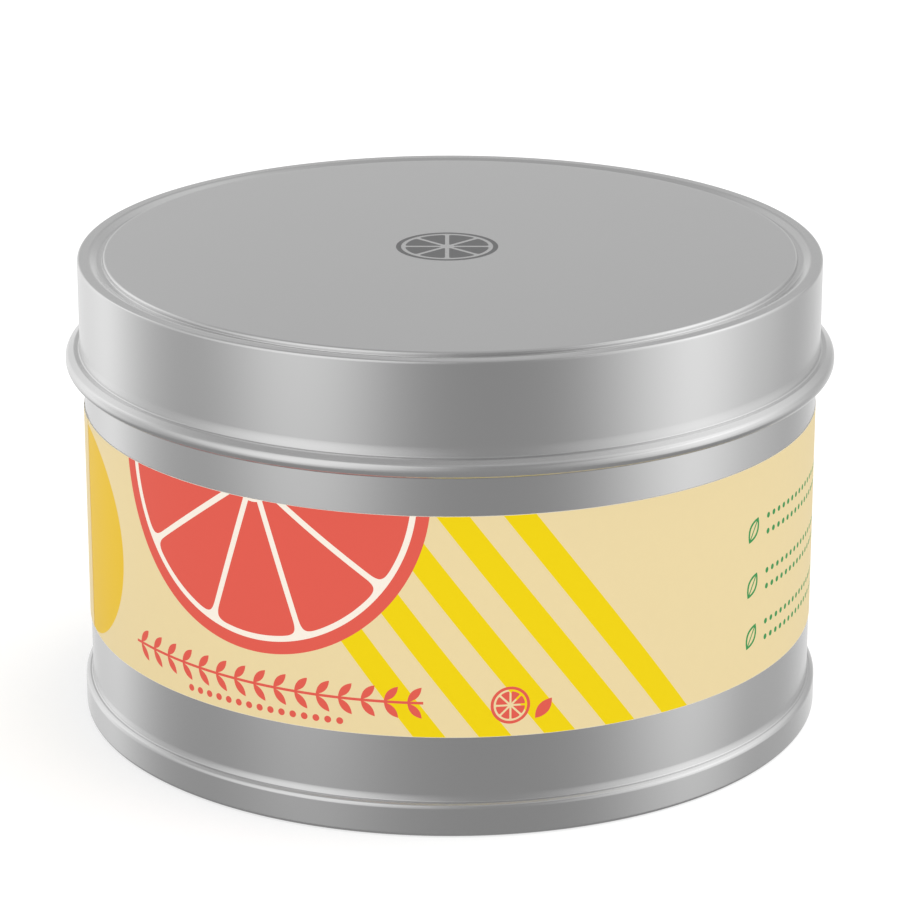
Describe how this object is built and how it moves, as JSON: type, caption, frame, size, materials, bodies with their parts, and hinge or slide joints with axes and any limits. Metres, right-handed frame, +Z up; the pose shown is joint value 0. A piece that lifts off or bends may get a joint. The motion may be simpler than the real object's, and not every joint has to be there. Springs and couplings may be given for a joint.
{
  "type": "citronella tin candle",
  "caption": "Round tinplate travel candle: seamed tin with wrapped paper label, wax, tabbed wick and a slip-on lid that lifts off.",
  "frame": {"origin": "centre of the foot of the tin, on its axis, at the height of the table it stands on", "axes": "+Z up along the axis of the tin, -Y towards the front of the label, +X to the right seen from the front"},
  "size_m": [0.08, 0.08, 0.0489],
  "materials": {
    "lid_tinplate": "satin tinplate",
    "body_tinplate": "satin tinplate",
    "end_tinplate": "satin tinplate",
    "sealing_compound": "soft cured compound",
    "label_film": "matt printed film",
    "wax": "smooth poured wax",
    "wick_cotton": "waxed braid",
    "tab_tinplate": "pressed tinplate",
    "sticker_foam": "white foam"
  },
  "bodies": {
    "tin": {"tin_body": "body_tinplate", "bottom_end": "end_tinplate", "seam_seal": "sealing_compound", "label": "label_film", "wax": "wax", "wick": "wick_cotton", "wick_tab": "tab_tinplate", "wick_sticker": "sticker_foam"},
    "lid": {"lid": "lid_tinplate"}
  },
  "joints": [
    {"name": "lid_lift", "type": "slide", "parent": "tin", "child": "lid", "axis": [0, 0, 1], "range_m": [0, 0.04]}
  ]
}
